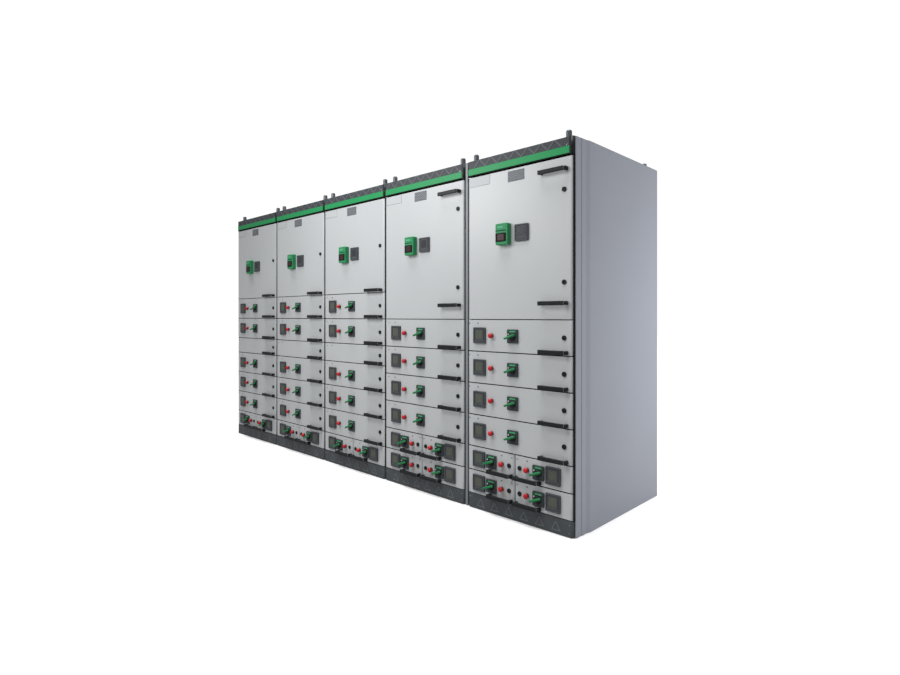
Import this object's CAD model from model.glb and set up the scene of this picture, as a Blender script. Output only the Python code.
import math

import bmesh
import bpy
from mathutils import Matrix, Vector


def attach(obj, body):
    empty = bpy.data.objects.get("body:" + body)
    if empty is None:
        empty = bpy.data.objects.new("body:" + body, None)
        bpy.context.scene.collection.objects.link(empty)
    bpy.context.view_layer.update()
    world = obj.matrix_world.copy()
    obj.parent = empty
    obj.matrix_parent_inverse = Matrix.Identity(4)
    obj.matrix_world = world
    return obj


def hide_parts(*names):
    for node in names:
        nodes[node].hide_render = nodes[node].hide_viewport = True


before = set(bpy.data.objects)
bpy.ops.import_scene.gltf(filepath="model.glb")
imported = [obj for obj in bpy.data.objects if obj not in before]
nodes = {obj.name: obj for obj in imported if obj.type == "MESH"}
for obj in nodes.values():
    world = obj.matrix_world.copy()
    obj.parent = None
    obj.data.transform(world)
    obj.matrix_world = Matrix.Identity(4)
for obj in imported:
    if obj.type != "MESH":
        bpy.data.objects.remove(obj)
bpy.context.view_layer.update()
scene = bpy.context.scene


# Fronts of doors and units: 1.5 mm sheet steel, folded back 22 mm all round with round
# upright edges, powder coated light grey, with a black gasket glued round the folds.
# Sizes are in millimetres from the cubicle's left boundary, the fronts' plane and the floor.
sheet_wall = 1.5


def linear(code):
    """Linear RGBA of an sRGB hex colour."""
    rgb = [int(code[i : i + 2], 16) / 255 for i in (0, 2, 4)]
    return [v / 12.92 if v <= 0.04045 else ((v + 0.055) / 1.055) ** 2.4 for v in rgb] + [1.0]


def shade(code, factor):
    """Linear RGBA of a hex colour, made darker or paler by a factor."""
    return [min(1.0, v * factor) for v in linear(code)[:3]] + [1.0]


def node(tree, kind, inputs=None, **settings):
    """Adds a node. Sockets among its inputs are linked, and other inputs are set."""
    made = tree.nodes.new(kind)
    for key, value in settings.items():
        setattr(made, key, value)
    for key, value in (inputs or {}).items():
        if isinstance(value, bpy.types.NodeSocket):
            tree.links.new(value, made.inputs[key])
        else:
            made.inputs[key].default_value = value
    return made


def surface(
    name, code, rough, metal=0.0, coat=0.0, drift=0.05, grain=2.0, bump=0.1, spangle=0.0, shine=0.5,
    stretch=(1, 1, 1),
):
    """Finish whose tone drifts over 400 mm, with a fine grain in its roughness and its bump.

    The grain and the spangle are sizes in millimetres. Most real grains are finer: they are
    drawn this coarse so that they show in a close view."""
    mat = bpy.data.materials.new(name)
    mat.use_nodes = True
    tree = mat.node_tree
    bsdf = tree.nodes["Principled BSDF"]
    place = node(tree, "ShaderNodeTexCoord").outputs["Object"]
    place = node(tree, "ShaderNodeMapping", {"Vector": place, "Scale": stretch}).outputs["Vector"]
    cloud = {"Vector": place, "Scale": 1000 / 400, "Detail": 4.0}
    broad = node(tree, "ShaderNodeTexNoise", cloud).outputs["Fac"]
    specks = {"Vector": place, "Scale": 1000 / grain, "Detail": 3.0}
    fine = node(tree, "ShaderNodeTexNoise", specks).outputs["Fac"]
    if spangle:
        crystals = {"Vector": place, "Scale": 1000 / spangle}
        flakes = node(tree, "ShaderNodeTexVoronoi", crystals).outputs["Color"]
        broad = node(tree, "ShaderNodeMix", {0: 0.75, 2: broad, 3: flakes}).outputs[0]
    dark, pale = shade(code, 1 - 2 * drift), shade(code, 1 + 2 * drift)
    tone = node(tree, "ShaderNodeMix", {0: broad, 6: dark, 7: pale}, data_type="RGBA").outputs[2]
    tree.links.new(tone, bsdf.inputs["Base Color"])
    limits = {"Value": fine, "To Min": rough - 0.07, "To Max": rough + 0.07}
    spread = node(tree, "ShaderNodeMapRange", limits)
    tree.links.new(spread.outputs["Result"], bsdf.inputs["Roughness"])
    relief = node(tree, "ShaderNodeBump", {"Height": fine, "Strength": bump, "Distance": 0.0004})
    tree.links.new(relief.outputs["Normal"], bsdf.inputs["Normal"])
    bsdf.inputs["Metallic"].default_value = metal
    bsdf.inputs["Coat Weight"].default_value = coat
    bsdf.inputs["Specular IOR Level"].default_value = shine
    return mat


# Powder coat on steel: an even satin tone with a fine orange peel. The gasket is rubber,
# dull and nearly black.
door_paint = surface("door_paint", "CDD0D2", 0.38, drift=0.012, grain=1.43, bump=0.12)
seal_black = surface("seal_black", "111214", 0.65, drift=0.08, grain=3.33, bump=0.3, shine=0.2)
gasketed = (door_paint, seal_black)


def soften(bm, edges, width, segments=2):
    """Bevels the edges, and shades the new faces smooth."""
    made = bmesh.ops.bevel(
        bm,
        geom=edges,
        offset=width,
        segments=segments,
        profile=0.5,
        affect="EDGES",
        material=-1,
        clamp_overlap=True,
    )
    for face in made["faces"]:
        face.smooth = True


def box(x, y, z, bevel=0.0, segments=2):
    """Box between the given limits, its edges rounded by bevel."""
    bm = bmesh.new()
    size = Vector((x[1] - x[0], y[1] - y[0], z[1] - z[0]))
    centre = Vector((x[0] + x[1], y[0] + y[1], z[0] + z[1])) / 2
    bmesh.ops.create_cube(bm, size=1, matrix=Matrix.Translation(centre) @ Matrix.Diagonal((*size, 1)))
    if bevel:
        soften(bm, bm.edges[:], bevel, segments)
    return bm


def upright(edge):
    """Whether an edge climbs by more than a millimetre."""
    return abs(edge.verts[0].co.z - edge.verts[1].co.z) > 1


def middle(edge):
    """The middle point of an edge."""
    return (edge.verts[0].co + edge.verts[1].co) / 2


def pan(x, z, depth=22.0, edge=16.0, fold=3.0, y=0.0):
    """Folded front: open at the back, round upright edges, its folds as second material."""
    bm = box(x, (y, y + depth), z)
    back = [f for f in bm.faces if f.normal.y > 0.9]
    bmesh.ops.delete(bm, geom=back, context="FACES")
    soften(bm, [e for e in bm.edges if upright(e) and middle(e).y < y + 1], edge, 7)
    rims = [
        e
        for e in bm.edges
        if not upright(e) and len(e.link_faces) == 2 and min(v.co.y for v in e.verts) < y + edge - 0.5
    ]
    soften(bm, rims, fold, 3)
    for face in bm.faces:
        if max(v.co.y for v in face.verts) > y + depth - 0.1:
            face.material_index = 1
    bmesh.ops.solidify(bm, geom=bm.faces[:], thickness=sheet_wall)
    return bm


# Pull handles: a black moulded bar with rounded edges, a thinner post at its left and a
# stouter one at its right, screwed from behind. A grey plug closes the bar at the right.
# The moulding is matt with an even grain, and the plug has a satin paint.
handle_black = surface("handle_black", "202325", 0.45, drift=0.08, grain=1.11, bump=0.25, shine=0.25)
strip_paint = surface("strip_paint", "8E9297", 0.45, drift=0.02, grain=1.67, bump=0.1)
handle_reach = 91
bar_end = 79
bar_y = (-38, -24.5)

# Every fitting ends 0.15 mm before the sheet, so that no two faces lie in one plane.
seat = -0.15


def pull_handle(x, z):
    """Bar, plug, left post and right end of a handle, about a centre."""
    bar = box((x - handle_reach, x + bar_end), bar_y, (z - 12.3, z + 12.3), 3.8, 3)
    plug = box((x + bar_end - 0.6, x + bar_end + 0.2), (-36.5, -26), (z - 9.5, z + 9.5), 0.3)
    post = box((x - handle_reach, x - 75), (-26, seat), (z - 9, z + 9), 2)
    end = box((x + 73, x + handle_reach), (-31, seat), (z - 11, z + 11), 4, 3)
    return [(bar, handle_black), (plug, strip_paint), (post, handle_black), (end, handle_black)]


# Quarter-turn locks: a round black face with a key slot, on a barrel that passes through
# the front to a cam of bright plated steel, brushed along its length.
steel = surface("steel", "B9BDC1", 0.28, metal=1.0, drift=0.05, grain=1.11, bump=0.15, stretch=(1, 1, 6))
lock_radius = 14
barrel_radius = 9
barrel_end = 36


def lathe(x, z, outline, steps=24):
    """Solid of revolution about an axis through (x, z) along Y; outline holds (radius, y)."""
    bm = bmesh.new()
    points = [bm.verts.new((x + r, y, z)) for r, y in outline]
    edges = [bm.edges.new(pair) for pair in zip(points, points[1:])]
    bmesh.ops.spin(
        bm,
        geom=points + edges,
        cent=(x, 0, z),
        axis=(0, 1, 0),
        angle=2 * math.pi,
        steps=steps,
        use_merge=True,
    )
    bmesh.ops.remove_doubles(bm, verts=bm.verts[:], dist=0.001)
    bmesh.ops.recalc_face_normals(bm, faces=bm.faces[:])
    for face in bm.faces:
        face.smooth = True
    for edge in bm.edges:
        edge.smooth = len(edge.link_faces) == 2 and edge.calc_face_angle() < math.radians(38)
    return bm


def lock(x, z):
    """Face and barrel in one, key slot and cam of a lock, about its axis."""
    face = [(0, -5.4), (9, -5.4), (9.6, -6), (12.8, -6), (lock_radius, -4.8), (lock_radius, seat)]
    barrel = [(barrel_radius, seat), (barrel_radius, barrel_end), (0, barrel_end)]
    slot = box((x - 2, x + 2), (-6.1, -5), (z - 8, z + 8), 0.5)
    cam = box((x - 8, x + 8), (barrel_end + 0.1, 39), (z - 10, z + 38), 1.5)
    return [(lathe(x, z, face + barrel), handle_black), (slot, seal_black), (cam, steel)]


# Meters: a moulded dark grey case, 96 mm wide, clipped into the front, with a sunk
# liquid-crystal glass and a row of flat keys under it. The mouldings are matt, and the
# glass is smooth and grey-green, over faint upright lines.
meter_w = 96
meter_h = 100
meter_front = -12
key_pitch = 15
cell_width = 25 / 11
bezel_grey = surface("bezel_grey", "4F5256", 0.5, drift=0.04, grain=0.91, bump=0.3, shine=0.25)
base_grey = surface("base_grey", "464A4E", 0.5, drift=0.04, grain=0.91, bump=0.3, shine=0.25)
line_grey = surface("line_grey", "777B80", 0.45, drift=0.03, grain=1.11, bump=0.1, shine=0.3)
dark_mould = surface("dark_mould", "3A3E43", 0.5, drift=0.05, grain=1.43, bump=0.3)


def glass(name, code, glow=0.0):
    """Display glass over upright lines of cells, coarser than real so that they show."""
    mat = surface(name, code, 0.25, drift=0.05, grain=6.67, bump=0.01, shine=0.15)
    tree = mat.node_tree
    bsdf = tree.nodes["Principled BSDF"]
    place = node(tree, "ShaderNodeTexCoord").outputs["Object"]
    cells = {"Vector": place, "Scale": 500 / cell_width, "Mortar Size": 0.04}
    tones = {"Color1": linear(code), "Color2": shade(code, 0.9), "Mortar": shade(code, 0.6)}
    grid = node(tree, "ShaderNodeTexBrick", cells | tones)
    tree.links.new(grid.outputs["Color"], bsdf.inputs["Base Color"])
    if glow:
        bsdf.inputs["Emission Color"].default_value = linear("B0302C")
        bsdf.inputs["Emission Strength"].default_value = glow
    return mat


lcd_green = glass("lcd_green", "646A5F")


def plate(x, z, w, h, y, corner, rim):
    """Flat plate parallel to the front, with round corners and a softened front rim."""
    bm = box((x - w / 2, x + w / 2), y, (z - h / 2, z + h / 2))
    soften(bm, [e for e in bm.edges if abs(e.verts[0].co.y - e.verts[1].co.y) > 1e-4], corner, 4)
    front = [f for f in bm.faces if f.normal.y < -0.9]
    rims = [e for e in bm.edges if len(e.link_faces) == 2 and sum(f in front for f in e.link_faces) == 1]
    soften(bm, rims, rim)
    return bm


def front_face(bm):
    """The largest face that looks to the front."""
    return max((f for f in bm.faces if f.normal.y < -0.9), key=lambda f: f.calc_area())


def sink(bm, wall, depth):
    """Sinks the front face of a plate, leaving a wall round it, with tight inner corners."""
    for inward, down in ((wall, 0), (depth / 2, depth)):
        bmesh.ops.inset_region(bm, faces=[front_face(bm)], thickness=0.01, depth=0)
        face = front_face(bm)
        centre = face.calc_center_median()
        for axis in (0, 2):
            reach = [abs(v.co[axis] - centre[axis]) for v in face.verts]
            near, far = min(reach), max(reach)
            for v, r in zip(face.verts, reach):
                share = (r - near) / (far - near)
                reached = math.copysign(far - inward - 1 + share, v.co[axis] - centre[axis])
                v.co[axis] = centre[axis] + reached
        for v in face.verts:
            v.co.y += down


def meter(x, z, screen=lcd_green):
    """Case, frame, glass, line, body behind the front and keys, about a centre."""
    case = plate(x, z, meter_w, meter_h, (meter_front, seat), 4, 1.6)
    sink(case, 7, 1.4)
    key_places = [x + k * key_pitch for k in (-1.5, -0.5, 0.5, 1.5)]
    return [
        (case, bezel_grey),
        (plate(x, z + 5, 76, 74, (-11, -10.5), 2, 0.2), seal_black),
        (plate(x, z + 5, 70, 68, (-11.3, -10.5), 2, 0.2), bezel_grey),
        (plate(x, z + 6, 52, 52, (-11.6, -10.8), 1.5, 0.2), screen),
        (box((x - 36, x + 36), (-11.4, -10.5), (z - 31.5, z - 29.5), 0.3), line_grey),
        (box((x - 45, x + 45), (1.6, 50), (z - 45, z + 45), 2), dark_mould),
    ] + [(plate(k, z - 36, 10, 5, (-11.4, -10.5), 1.2, 0.4), base_grey) for k in key_places]


# Rotary switch: a square dark grey base with a green field along its top and a small bare
# label, a black disc, and a boss that carries the green lever on its shaft. All are
# moulded in coloured plastic; the lever is the glossiest.
deep_green = surface("deep_green", "175D3A", 0.4, drift=0.03, grain=1.43, bump=0.1, shine=0.3)
pale_green = surface("pale_green", "62B386", 0.45, drift=0.02, grain=1.43, bump=0.1, shine=0.2)
lever_green = surface("lever_green", "107F46", 0.32, coat=0.1, drift=0.03, grain=1.43, bump=0.1)
label_white = surface("label_white", "CBCED1", 0.45, drift=0.01, grain=1.25, bump=0.05, shine=0.3)
switch_w = 78
switch_h = 82
boss_radius = 21
shaft_radius = 4
shaft_end = 69


def switch_base(x, z):
    """Base, green field, its pale window, label and disc, about the shaft's axis."""
    base = plate(x, z, switch_w, switch_h, (-10, seat), 4, 1.4)
    sink(base, 5, 1.2)
    return [
        (base, base_grey),
        (plate(x - 1, z + 27, 60, 18, (-10.4, -8.7), 6, 0.4), deep_green),
        (plate(x + 2, z + 28, 44, 8, (-10.9, -10), 3.8, 0.4), pale_green),
        (plate(x - 28, z + 11, 10, 10, (-10, -8.7), 1.2, 0.3), label_white),
        (lathe(x, z, [(0, -12.6), (23, -12.6), (25.5, -11), (26, -8.7)], 32), handle_black),
    ]


def lever(x, z):
    """Lever as it stands at rest: it points down to the left, and its tip leans outwards."""
    crown = [(0, -26), (14, -26), (17.5, -24.8), (20, -22), (boss_radius, -18), (boss_radius, -12.8)]
    shaft = [(shaft_radius, -12.8), (shaft_radius, shaft_end), (0, shaft_end)]
    arm = box((-44, 32), (-6.5, 6.5), (-7.6, 7.6), 6, 4)
    for v in arm.verts:
        v.co.z *= 1 + 0.1 * v.co.x / 38
    lean = Matrix.Rotation(math.radians(11), 4, "Z")
    turn = Matrix.Rotation(math.radians(-20), 4, "Y")
    bmesh.ops.transform(arm, matrix=Matrix.Translation((x, -30, z)) @ turn @ lean, verts=arm.verts)
    return [(lathe(x, z, crown + shaft), handle_black), (arm, lever_green)]


# Push-buttons: a glossy red mushroom head on a stem, in a dark collar that is screwed to
# the front from behind, with its contact block inside. The stem stops short of the block.
dome_red = surface("dome_red", "D0121C", 0.28, coat=0.15, drift=0.02, grain=5, bump=0.02)
collar_radius = 14
head_radius = 16
dome_depth = 11.5
stem_radius = 8
stem_end = 14.5
block_y = (20, 50)


def button_collar(x, z):
    """Collar with its tube, and the contact block behind the front."""
    bore = stem_radius + 0.4
    flange = [(bore, -6.4), (9, -7), (13, -7), (collar_radius, -6), (collar_radius, seat), (11, seat)]
    tube = [(11, block_y[0]), (bore, block_y[0]), (bore, -6.4)]
    block = box((x - 15, x + 15), block_y, (z - 20, z + 20), 2)
    return [(lathe(x, z, flange + tube), base_grey), (block, dark_mould)]


def button_head(x, z):
    """Dome, its underside and the stem, as it stands when it isn't pressed."""
    bends = [math.radians(11.25 * k) for k in range(9)]
    dome = [(head_radius * math.sin(a), -17 - dome_depth * math.cos(a)) for a in bends]
    under = [(head_radius, -13.4), (15.2, -12.5), (stem_radius, -12.5)]
    stem = [(stem_radius, stem_end), (0, stem_end)]
    return [(lathe(x, z, dome + under + stem), dome_red)]


# Trays: folded zinc-coated sheet on the runners, with a switch, a contactor, a relay and a
# terminal row screwed to its floor, and a brown plug with four copper blades at the rear.
# Zinc shows a cloudy spangle, copper a drawn sheen, and the mouldings are matt.
zinc = surface("zinc", "A9AEB2", 0.42, metal=0.75, drift=0.07, grain=3.33, bump=0.1, spangle=14.3)
copper = surface("copper", "C7794B", 0.34, metal=1.0, drift=0.08, grain=3.33, bump=0.1, stretch=(1, 1, 5))
brown_mould = surface("brown_mould", "8E3A2C", 0.5, drift=0.06, grain=2, bump=0.3)
pale_mould = surface("pale_mould", "C9BE9C", 0.5, drift=0.04, grain=1.67, bump=0.25)
tray_y = (1.7, 501.5)
blade_pitch = 26


def device(x, y, z, body, screws):
    """Moulded device with a raised middle and terminal screws along both ends."""
    step = 0.16 * (z[1] - z[0])
    end = 0.2 * (y[1] - y[0])
    ledge = z[1] - step
    parts = [
        (box(x, y, (z[0], ledge), 2), body),
        (box((x[0] + 2, x[1] - 2), (y[0] + end, y[1] - end), (ledge - 1, z[1]), 2), body),
    ]
    for k in range(screws):
        cx = x[0] + (k + 0.5) * (x[1] - x[0]) / screws
        for cy in (y[0] + end / 2, y[1] - end / 2):
            head = box((cx - 4, cx + 4), (cy - 3, cy + 3), (ledge - 0.5, ledge + 2), 0.8)
            parts.append((head, copper))
    return parts


def tray(x0, x1, z0, z1, switch_x):
    """Sheet, devices and plug of a tray between the given limits."""
    mid = (x0 + x1) / 2
    floor_z = z0 + 4.5
    top = z0 + 6.5
    room = z1 - z0 - 35
    sheet = [
        box((x0, x0 + 2), tray_y, (floor_z, z1)),
        box((x1 - 2, x1), tray_y, (floor_z, z1)),
        box((x0 + 2, x0 + 12), (20, 490), (z1 - 2, z1)),
        box((x1 - 12, x1 - 2), (20, 490), (z1 - 2, z1)),
        box((x0 + 2, x1 - 2), tray_y, (floor_z, z0 + 6.4)),
        box((x0 + 2, x1 - 2), (499.5, tray_y[1]), (z0 + 6.4, z1)),
    ]
    plug_z = z0 + 64.5
    shell = box((mid - 55, mid + 55), (501.7, 507.5), (plug_z - 23, plug_z + 23), 1.5)
    blades = []
    for k in (-1.5, -0.5, 0.5, 1.5):
        blade_x = mid + k * blade_pitch
        blades.append(box((blade_x - 2, blade_x + 2), (507, 529.5), (plug_z - 15, plug_z + 15), 0.8))
    devices = (
        device((switch_x - 45, switch_x + 45), (70, 150), (top, top + min(130, room)), dark_mould, 3)
        + device((mid - 62, mid - 5), (220, 320), (top, top + min(95, room)), dark_mould, 3)
        + device((mid + 5, mid + 62), (220, 304), (top, top + min(78, room)), dark_mould, 3)
        + device((mid - 70, mid + 70), (380, 424), (top, top + 46), pale_mould, 12)
    )
    return [(s, zinc) for s in sheet], devices, [(shell, brown_mould)] + [(b, copper) for b in blades]


# Withdrawable units: every cubicle has its own stack of full-width, half-width and blank
# fronts on a 50 mm grid. Each row gives the foot, the height and the kind of a unit.
# Controls ride on their own bodies in the right-hand cubicle.
low_rows = [(1195, 200, "full"), (995, 200, "full"), (845, 150, "blank"), (645, 200, "full")]
low_rows += [(445, 200, "full"), (245, 200, "full"), (95, 150, "left"), (95, 150, "right")]
high_rows = [(995, 200, "full"), (795, 200, "full"), (595, 200, "full"), (395, 200, "full")]
high_rows += [(245, 150, "left"), (245, 150, "right"), (95, 150, "left"), (95, 150, "right")]
pitch = 800
front_plane = -489
front_right = 796.5
right_start = 402
joint_gap = 3.2

# The x places of a unit's right end, tray, controls and fittings, by its kind.
full = dict(end=front_right, tray=(53, 724), meter=131, button=227, switch=390, lock=743, handle=679)
blank = dict(end=front_right, lock=full["lock"], handle=full["handle"])
left_half = dict(end=398, tray=(53, 340), meter=127, button=307, switch=226, lock=361, handle=299)
right_half = dict(end=front_right, tray=(460, 745), meter=673, button=493, switch=574, lock=439, handle=501)
spots = {"full": full, "blank": blank, "left": left_half, "right": right_half}
rivet_places = {"full": (45, 115), "blank": (45, 115), "left": (380, 305), "right": (420, 492)}


def origin(cubicle):
    """A cubicle's left boundary, on the plane of the fronts and the floor."""
    return ((cubicle - 3.5) * pitch, front_plane, 0)


def left(cubicle):
    """Where a cubicle's fronts begin: the last one leaves room for the grey strip."""
    return 31 if cubicle == 5 else 5


def piece(name, parts, body, replaces, at):
    """One object from (shape, finish) parts in millimetres, riding on a body of the frame."""
    mesh = bpy.data.meshes.new(name)
    whole = bmesh.new()
    mats = []
    for part, finish in parts:
        skins = finish if isinstance(finish, tuple) else (finish,)
        mats += [mat for mat in skins if mat not in mats]
        for face in part.faces:
            face.material_index = mats.index(skins[min(face.material_index, len(skins) - 1)])
        part.to_mesh(mesh)
        whole.from_mesh(mesh)
        part.free()
    to_metres = Matrix.Scale(0.001, 4) @ Matrix.Translation(at)
    bmesh.ops.transform(whole, matrix=to_metres, verts=whole.verts)
    whole.to_mesh(mesh)
    whole.free()
    for mat in mats:
        mesh.materials.append(mat)
    made = bpy.data.objects.new(name, mesh)
    scene.collection.objects.link(made)
    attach(made, body)
    if replaces:
        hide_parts(replaces)


def rivets(kind, z):
    """A faint rivet and a dark indicator near the top of a unit's front."""
    eye = [(0, -1.6), (3, -1.4), (4.2, -0.6), (4.2, 0.2)]
    return [(lathe(x, z, eye, 12), mat) for x, mat in zip(rivet_places[kind], (line_grey, seal_black))]


def unit(name, body, at, kind, x0, z, h, controls, fixed):
    """Front of a unit with its fittings; controls names the bodies of lever and button."""
    spot = spots[kind]
    mid = z + h / 2
    start = right_start if kind == "right" else x0
    front = pan((start, spot["end"]), (z + joint_gap, z + h - joint_gap))
    piece(name + "_front", [(front, gasketed)] + rivets(kind, z + h - 24), body, fixed, at)
    piece(name + "_handle", pull_handle(spot["handle"], z + 18), body, None, at)
    piece(name + "_lock", lock(spot["lock"], mid), body, None, at)
    if "meter" not in spot:
        return
    piece(name + "_meter", meter(spot["meter"], mid), body, None, at)
    piece(name + "_switch_base", switch_base(spot["switch"], mid), body, None, at)
    piece(name + "_button_collar", button_collar(spot["button"], mid), body, None, at)
    turned, pressed = controls or (None, None)
    piece(name + "_lever", lever(spot["switch"], mid), turned or body, turned, at)
    piece(name + "_button", button_head(spot["button"], mid), pressed or body, pressed, at)


for cubicle in range(1, 6):
    rows = high_rows if cubicle > 3 else low_rows
    at = origin(cubicle)
    for n, (z, h, kind) in enumerate(rows, 1):
        name = f"unit_{cubicle}_{n}"
        if name not in nodes:
            fixed = "fixed_units" if (cubicle, n) == (1, 1) else None
            unit(name, "line_up", at, kind, left(cubicle), z, h, None, fixed)
            continue
        own = (f"rotary_handle_{n}", f"push_button_{n}") if cubicle == 5 else None
        unit(name, name, at, kind, left(cubicle), z, h, own, name)
        spot = spots[kind]
        sheet, devices, plug = tray(*spot["tray"], z, z + h - 27, spot["switch"])
        piece(name + "_tray", sheet, name, None, at)
        piece(name + "_devices", devices, name, None, at)
        piece(name + "_plug", plug, name, None, at)


# Doors: a tall folded front on two hinge pins, stiffened by channels behind, with a
# chevron vent, a bare label plate, a display unit, a meter, handles and locks. The unit's
# case is a satin green moulding, and its glass is near black with a faint red cast.
case_green = surface("case_green", "35935F", 0.45, drift=0.02, grain=1.25, bump=0.15, shine=0.2)
lcd_dark = glass("lcd_dark", "4E3F41", 0.03)
lcd_slate = glass("lcd_slate", "43464B")
door_top = 2095
door_gap = 2.5
vent_z = 2049
vent_w = 122
vent_h = 64
display_z = 1707
display_w = 92
display_h = 128
display_front = -34


def slats(centres, z, length, width, angle, y, limits):
    """Slanted flat bars about (x, z) centres over the height z, cut to (x range, z range)."""
    bm = bmesh.new()
    size = Matrix.Diagonal((length, y[1] - y[0], width, 1))
    slant = Matrix.Rotation(math.radians(angle), 4, "Y")
    for cx, cz in centres:
        place = Matrix.Translation((cx, (y[0] + y[1]) / 2, cz + z))
        bmesh.ops.create_cube(bm, size=1, matrix=place @ slant @ size)
    (x0, x1), (z0, z1) = limits
    cuts = [((x0, 0, 0), (-1, 0, 0)), ((x1, 0, 0), (1, 0, 0))]
    cuts += [((0, 0, z0), (0, 0, -1)), ((0, 0, z1), (0, 0, 1))]
    for point, normal in cuts:
        whole = bm.verts[:] + bm.edges[:] + bm.faces[:]
        cut = bmesh.ops.bisect_plane(bm, geom=whole, plane_co=point, plane_no=normal, clear_outer=True)
        rims = [e for e in cut["geom_cut"] if isinstance(e, bmesh.types.BMEdge)]
        if rims:
            bmesh.ops.edgenet_fill(bm, edges=rims)
    return bm


def vent(x, z):
    """Framed dark field, under two leaves of slanted bars that meet in chevrons."""
    parts = [
        (plate(x, z, vent_w, vent_h, (-0.5, 0), 2, 0.3), line_grey),
        (plate(x, z, vent_w - 6, vent_h - 6, (-0.7, -0.4), 1, 0.1), base_grey),
    ]
    leaf_width = 57
    bar_pitch = 14
    for side in (-1, 1):
        leaf = (x + min(0, side * leaf_width), x + max(0, side * leaf_width))
        centres = [(x + side * 28, k * bar_pitch) for k in range(-5, 6)]
        bars = slats(centres, z, 90, 6.5, -35 * side, (-1.3, -0.5), (leaf, (z - 28, z + 28)))
        parts.append((bars, strip_paint))
    return parts


def display_unit(x, z):
    """Green case with a dark line, a dark frame round its glass, and a pale key field."""
    return [
        (plate(x, z, display_w, display_h, (display_front, seat), 7, 3), case_green),
        (box((x - 45, x + 36), (-34.3, -31), (z + 18, z + 23), 0.2), seal_black),
        (plate(x - 4.5, z - 20, 81, 53, (-34.5, -31), 3, 0.4), seal_black),
        (plate(x - 6, z - 19, 49, 36, (-34.8, -34), 2, 0.2), lcd_dark),
        (plate(x - 10, z + 42, 44, 12, (-34.3, -33.5), 2, 0.3), pale_green),
    ]


def hinge_pin(x, z):
    """Upright steel pin, 8 mm high, with broken edges; lathe turns it lying down."""
    outline = [(0, z - 4), (3.6, z - 4), (4, z - 3.5), (4, z + 3.5), (3.6, z + 4), (0, z + 4)]
    pin = lathe(0, 0, outline, 16)
    bmesh.ops.rotate(pin, verts=pin.verts, matrix=Matrix.Rotation(math.radians(90), 3, "X"))
    bmesh.ops.translate(pin, verts=pin.verts, vec=(x, 12, 0))
    return (pin, steel)


def door(cubicle):
    """The door of a cubicle; those of the two right-hand ones are taller, with more fittings."""
    name = f"door_{cubicle}"
    at = origin(cubicle)
    x0 = left(cubicle)
    tall = cubicle > 3
    low = 1195 if tall else 1395
    handles = [2025, low + 92] if tall else [low + 18]
    locks = [1914, low + 208] if tall else [(low + door_top) / 2]
    z0 = low + door_gap
    z1 = door_top - door_gap
    leaf = [(pan((x0, front_right), (z0, z1)), gasketed)]
    for x in (x0 + 60, front_right - 130):
        channel = box((x, x + 30), (1.7, 18), (z0 + 30, z1 - 110), 1.5)
        leaf.append((channel, door_paint))
    leaf += [hinge_pin(x0 + 12, z) for z in (z0, z1)]
    piece(name + "_leaf", leaf, name, name, at)

    # A grey frame shows as a thin line round the bare label plate.
    label = [
        (box((x0 + 16, x0 + 181), (-0.6, -0.1), (z1 - 61, z1 - 3), 0.2), strip_paint),
        (box((x0 + 17, x0 + 179), (-1, -0.5), (z1 - 59, z1 - 4), 0.2), label_white),
    ]
    piece(name + "_label", label, name, None, at)
    piece(name + "_vent", vent(x0 + 381, vent_z), name, None, at)
    piece(name + "_display", display_unit(x0 + 297, display_z), name, None, at)
    piece(name + "_meter", meter(x0 + 425, display_z, lcd_slate), name, None, at)
    for k, z in enumerate(handles, 1):
        piece(f"{name}_handle_{k}", pull_handle(full["handle"], z), name, None, at)
    for k, z in enumerate(locks, 1):
        own = f"door_lock_{k}" if cubicle == 5 else None
        piece(f"{name}_lock_{k}", lock(full["lock"], z), own or name, own, at)


for cubicle in range(1, 6):
    door(cubicle)


# Header: a pressed fascia whose raised diagonal ribs form a lattice, over a green band,
# with a rounded black moulded cap over the corner post at its right end. The fascia has a
# coarse matt coat, paler where the ribs catch the light, and the band a satin one.
anthracite = surface("anthracite", "474B4F", 0.5, drift=0.04, grain=2, bump=0.2, shine=0.3)
rib_paint = surface("rib_paint", "62666A", 0.5, drift=0.03, grain=2, bump=0.15, shine=0.3)
band_green = surface("band_green", "2C9E5E", 0.42, drift=0.015, grain=1.67, bump=0.08, shine=0.25)
header_right = 775
header_top = 2200
band_top = 2150
band_foot = 2110
header_foot = 2103
lattice_pitch = 92


def row_of(name, build, replaces):
    """Builds one piece per cubicle; the first stands for the CAD node."""
    for cubicle in range(1, 6):
        node_name = replaces if cubicle == 1 else None
        piece(f"{name}_{cubicle}", build(cubicle), "line_up", node_name, origin(cubicle))


def screw(x, z, y, r):
    """Plated screw with a sunk middle, its round head of radius r standing on the plane y."""
    rim = [(r * 0.5, y - 1.6), (r * 0.8, y - 1.4), (r, y - 0.6), (r, y + 0.3)]
    return (lathe(x, z, [(0, y - 0.8), (r * 0.45, y - 0.8)] + rim, 12), steel)


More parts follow.
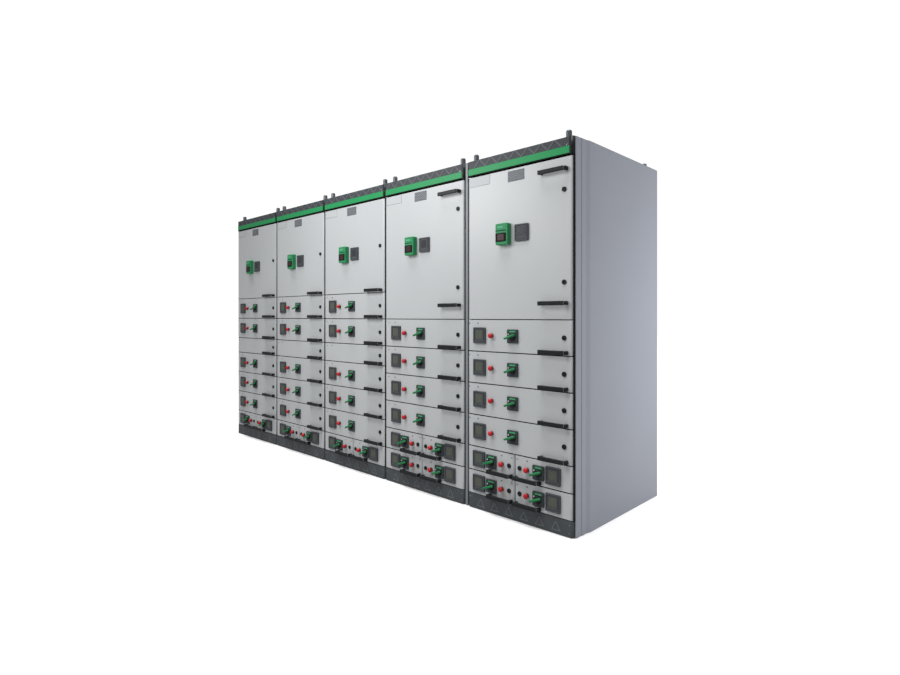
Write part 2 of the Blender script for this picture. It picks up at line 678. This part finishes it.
def fascia(cubicle):
    """Fascia of a cubicle, with whole meshes of the lattice centred on it, and its screw."""
    x0 = left(cubicle)
    count = 7 if cubicle == 5 else 8
    start = (x0 + header_right - count * lattice_pitch) / 2
    angle = math.degrees(math.atan2(48, lattice_pitch / 2))
    limits = ((x0 + 3, header_right - 3), (band_top + 1, header_top - 1))
    parts = [(pan((x0, header_right), (band_top, header_top), 28.5, 3, 1, 1.5), anthracite)]
    for side in (-1, 1):
        # The ribs of one slant stand a little higher, so that no two faces lie in one plane.
        rib_y = (0.15 + 0.15 * side, 2)
        centres = [(start + lattice_pitch * (k + 0.5 + side / 4), 0) for k in range(count)]
        ribs = slats(centres, (band_top + header_top) / 2, 90, 9, side * angle, rib_y, limits)
        parts.append((ribs, rib_paint))
    return parts + [screw(760, 2157, 0.5, 3.5)]


def band(cubicle):
    """Green band, with a black seal along its lower edge."""
    x = (left(cubicle), header_right)
    seal = box(x, (1.5, 24), (header_foot + 0.2, band_foot - 0.2), 0.5)
    return [(pan(x, (band_foot, band_top), 30, 3, 1), band_green), (seal, seal_black)]


def cap(cubicle):
    """Corner cap, the same on every cubicle."""
    block = box((header_right + 1, 799.5), (0, 30), (header_foot, header_top))
    corner = [e for e in block.edges if upright(e) and middle(e).x > 799 and middle(e).y < 1]
    soften(block, corner, 14, 6)
    return [(block, handle_black)]


row_of("header_fascia", fascia, "header_fascias")
row_of("header_band", band, "header_bands")
row_of("header_cap", cap, None)


# Plinth: folded sheet with pressed triangle outlines, fixed with small bright screws near
# its ends. It has a coarse matt grey coat, and its ribs look paler, as they catch more
# light. The rear panels are plain.
plinth_paint = surface("plinth_paint", "54585C", 0.5, drift=0.04, grain=2, bump=0.2, shine=0.3)
plinth_rib = surface("plinth_rib", "767A7E", 0.5, drift=0.03, grain=2, bump=0.15, shine=0.3)
plinth_z = (3, 92.5)
triangle_z = (21, 72)
triangle_pitch = 110
triangles = 6
body_depth = 1040


def plinth(cubicle):
    """Front panel of a cubicle's plinth with its triangles and screws, and the rear panel."""
    x0 = left(cubicle)
    first = (x0 + front_right - (triangles - 1) * triangle_pitch) / 2
    parts = [(pan((x0, front_right), plinth_z, 30), plinth_paint)]
    angle = math.degrees(math.atan2(51, 28))
    middle_z = sum(triangle_z) / 2
    for k in range(triangles):
        x = first + k * triangle_pitch
        span = (x - 31, x + 31)
        for side in (-1, 1):
            # The two legs differ a little in height, so that they share no plane at the tip.
            leg_y = (-1.4 + 0.1 * side, 0.5)
            half = (span[0], x + 2) if side < 0 else (x - 2, span[1])
            centres = [(x + side * 14, 0)]
            leg = slats(centres, middle_z, 90, 5, side * angle, leg_y, (half, triangle_z))
            parts.append((leg, plinth_rib))
        parts.append((box(span, (-1.4, 0.5), (triangle_z[0], 26), 0.5), plinth_rib))
    rear = pan((2, 798), plinth_z, 22, 4, 1)
    turn = Matrix.Translation((pitch, body_depth, 0)) @ Matrix.Rotation(math.pi, 4, "Z")
    bmesh.ops.transform(rear, matrix=turn, verts=rear.verts)
    screws = [screw(x, z, 0, 3) for x in (x0 + 19, 776) for z in (26, 70)]
    return parts + [(rear, plinth_paint)] + screws


row_of("plinth", plinth, "plinths")


# Edge strips and seals: a grey pressed strip stands at the left of the last cubicle, and
# black rubber profiles fill the joints beside the fronts, up to the posts behind.
def seals(cubicle):
    """The seal at a cubicle's left, and two at its right, one behind the other."""
    left_x, left_y = ((0.2, 30), (22.4, 30)) if cubicle == 5 else ((0.2, 4.3), (8.1, 30))
    return [
        (box(left_x, left_y, (2, header_top), 0.8), seal_black),
        (box((776.1, 799.7), (22.4, 30), (95, header_foot), 0.8), seal_black),
        (box((797.2, 799.7), (2.1, 22), (95, header_foot), 0.8), seal_black),
    ]


row_of("edge_seal", seals, "edge_strips")
grey_strip = box((3, 22), (6, 22), (2, header_top), 1.5, 3)
piece("edge_strip", [(grey_strip, strip_paint)], "line_up", None, origin(5))


# Circuit breakers: draw-out breakers on zinc-coated cradles behind the doors, with moulded
# arc chutes and a moulded front cover, a charging handle, two push-buttons and a bare
# rating plate.
cradle_y = (320, 560)


def breaker(cubicle):
    """A cubicle's breaker on its cradle, standing higher behind the lower doors."""
    z0 = 1345 if cubicle > 3 else 1545
    middle_z = z0 + 170
    cradle = [box((x, x + 4), cradle_y, (z0, z0 + 400), 0.8) for x in (185.85, 610.15)]
    cradle.append(box((186, 614), cradle_y, (z0 - 4, z0 - 0.15), 0.8))
    chutes = [box((222 + k * 122, 334 + k * 122), (370, 558), (z0 + 340, z0 + 390), 4) for k in range(3)]
    cover = plate(400, middle_z, 360, 280, (280, 310), 14, 5)
    sink(cover, 12, 2)
    fittings = [
        (box((190, 610), (310, 560), (z0, z0 + 340), 4), dark_mould),
        (cover, bezel_grey),
        (plate(520, middle_z, 30, 150, (268, 283), 10, 3), handle_black),
        (plate(340, middle_z - 40, 28, 28, (274, 283), 4, 2), dome_red),
        (plate(340, middle_z + 10, 28, 28, (274, 283), 4, 2), lever_green),
        (plate(400, middle_z + 90, 200, 50, (279.5, 283), 3, 0.5), lcd_slate),
        (plate(440, middle_z - 30, 90, 100, (280, 283), 3, 0.5), label_white),
    ]
    return [(c, zinc) for c in cradle] + [(c, dark_mould) for c in chutes] + fittings


row_of("circuit_breaker", breaker, "circuit_breakers")


# Frame, inner walls, covers, bars and supports keep their solids, which have the right
# shape. The end panels have a satin mid-grey powder coat, the roof and the rear a paler
# one, and the caps of the lifting bolts a silver-grey lacquer with a slight metal sheen.
side_paint = surface("side_paint", "9A9EA8", 0.45, drift=0.02, grain=1.67, bump=0.12)
roof_paint = surface("roof_paint", "B9BCBF", 0.45, drift=0.02, grain=1.67, bump=0.12)
cap_grey = surface("cap_grey", "6B7074", 0.35, metal=0.3, drift=0.04, grain=2.5, bump=0.1)
finishes = {
    "frame": zinc,
    "compartments": zinc,
    "side_panels": side_paint,
    "roof_plates": roof_paint,
    "rear_covers": roof_paint,
    "lifting_bolts": cap_grey,
    "busbars": copper,
    "insulators": brown_mould,
}
for name, mat in finishes.items():
    for slot in nodes[name].material_slots:
        slot.material = mat


# Studio floor: pale and matt. It throws back less light than the camera sees on it, so
# that the fronts keep their own tones.
floor_white = surface("studio_white", "F6F6F6", 0.9, drift=0.0, bump=0.0)
tree = floor_white.node_tree
bsdf = tree.nodes["Principled BSDF"]
seen = node(tree, "ShaderNodeLightPath").outputs["Is Camera Ray"]
tone = node(tree, "ShaderNodeMix", {0: seen, 6: linear("9A9A9A"), 7: linear("F8F8F8")}, data_type="RGBA")
glow = node(tree, "ShaderNodeMath", {0: seen, 1: 0.16}, operation="MULTIPLY")
tree.links.new(tone.outputs[2], bsdf.inputs["Base Color"])
tree.links.new(glow.outputs[0], bsdf.inputs["Emission Strength"])
bsdf.inputs["Emission Color"].default_value = (1, 1, 1, 1)
floor_mesh = bpy.data.meshes.new("studio_floor")
floor_mesh.materials.append(floor_white)
floor_shape = bmesh.new()
bmesh.ops.create_grid(floor_shape, x_segments=1, y_segments=1, size=30)
floor_shape.to_mesh(floor_mesh)
floor_shape.free()
studio_floor = bpy.data.objects.new("studio_floor", floor_mesh)
scene.collection.objects.link(studio_floor)


# Studio light: a white backdrop that only the camera and glass see, a soft light from
# overhead, two boxes before the right-hand doors, and weak fills from the right and rear.
world = bpy.data.worlds.new("studio")
scene.world = world
world.use_nodes = True
tree = world.node_tree
path = node(tree, "ShaderNodeLightPath")
rays = {0: path.outputs["Is Camera Ray"], 1: path.outputs["Is Transmission Ray"]}
seen = node(tree, "ShaderNodeMath", rays, operation="MAXIMUM").outputs[0]
lit = node(tree, "ShaderNodeMapRange", {"Value": seen, "To Min": 0.3, "To Max": 1.05})
tree.links.new(lit.outputs["Result"], tree.nodes["Background"].inputs["Strength"])
tree.nodes["Background"].inputs["Color"].default_value = (1, 1, 1, 1)


def lamp(name, kind, place, aim, power, **settings):
    """Lamp at a place in metres, turned towards its aim."""
    data = bpy.data.lights.new(name, kind)
    data.energy = power
    for key, value in settings.items():
        setattr(data, key, value)
    made = bpy.data.objects.new(name, data)
    made.location = place
    made.rotation_euler = (Vector(aim) - Vector(place)).to_track_quat("-Z", "Y").to_euler()
    scene.collection.objects.link(made)
    return made


lamp("sky_panel", "SUN", (-0.6, -1.0, 8), (0, 0, 0), 2.9, angle=math.radians(40))
lamp("softbox", "AREA", (-0.2, -2.3, 2.5), (1.0, -0.49, 1.7), 23, size=0.9)
soft_fills = [
    lamp("matt_box", "AREA", (1.15, -2.1, 2.7), (1.2, -0.49, 1.7), 7, size=0.6),
    lamp("side_fill", "AREA", (3.7, 1.3, 1.15), (2.0, 0.2, 1.1), 39, size=1.2),
    lamp("rear_fill", "AREA", (-1.5, 3.6, 2.8), (0, 0.55, 1.1), 60, size=1.5),
]
for fill in soft_fills:
    fill.visible_glossy = False


# Camera, as fitted to the photograph: about 22 mm on a 36 mm sensor, at 1.21 m height,
# level, and turned 44 degrees to the left of the line-up's normal.
photo_width = 900
photo_height = 675
focal_length_pixels = 555.17
horizon_row = 316.42
eye = bpy.data.cameras.new("camera")
eye.lens = focal_length_pixels / photo_width * eye.sensor_width
eye.shift_y = -(photo_height / 2 - horizon_row) / photo_width
eye.clip_end = 100
camera = bpy.data.objects.new("camera", eye)
camera.location = (3.6074, -3.1292, 1.2137)
camera.rotation_euler = (math.radians(90), 0, math.radians(43.864))
scene.collection.objects.link(camera)
scene.camera = camera
scene.view_settings.view_transform = "Standard"
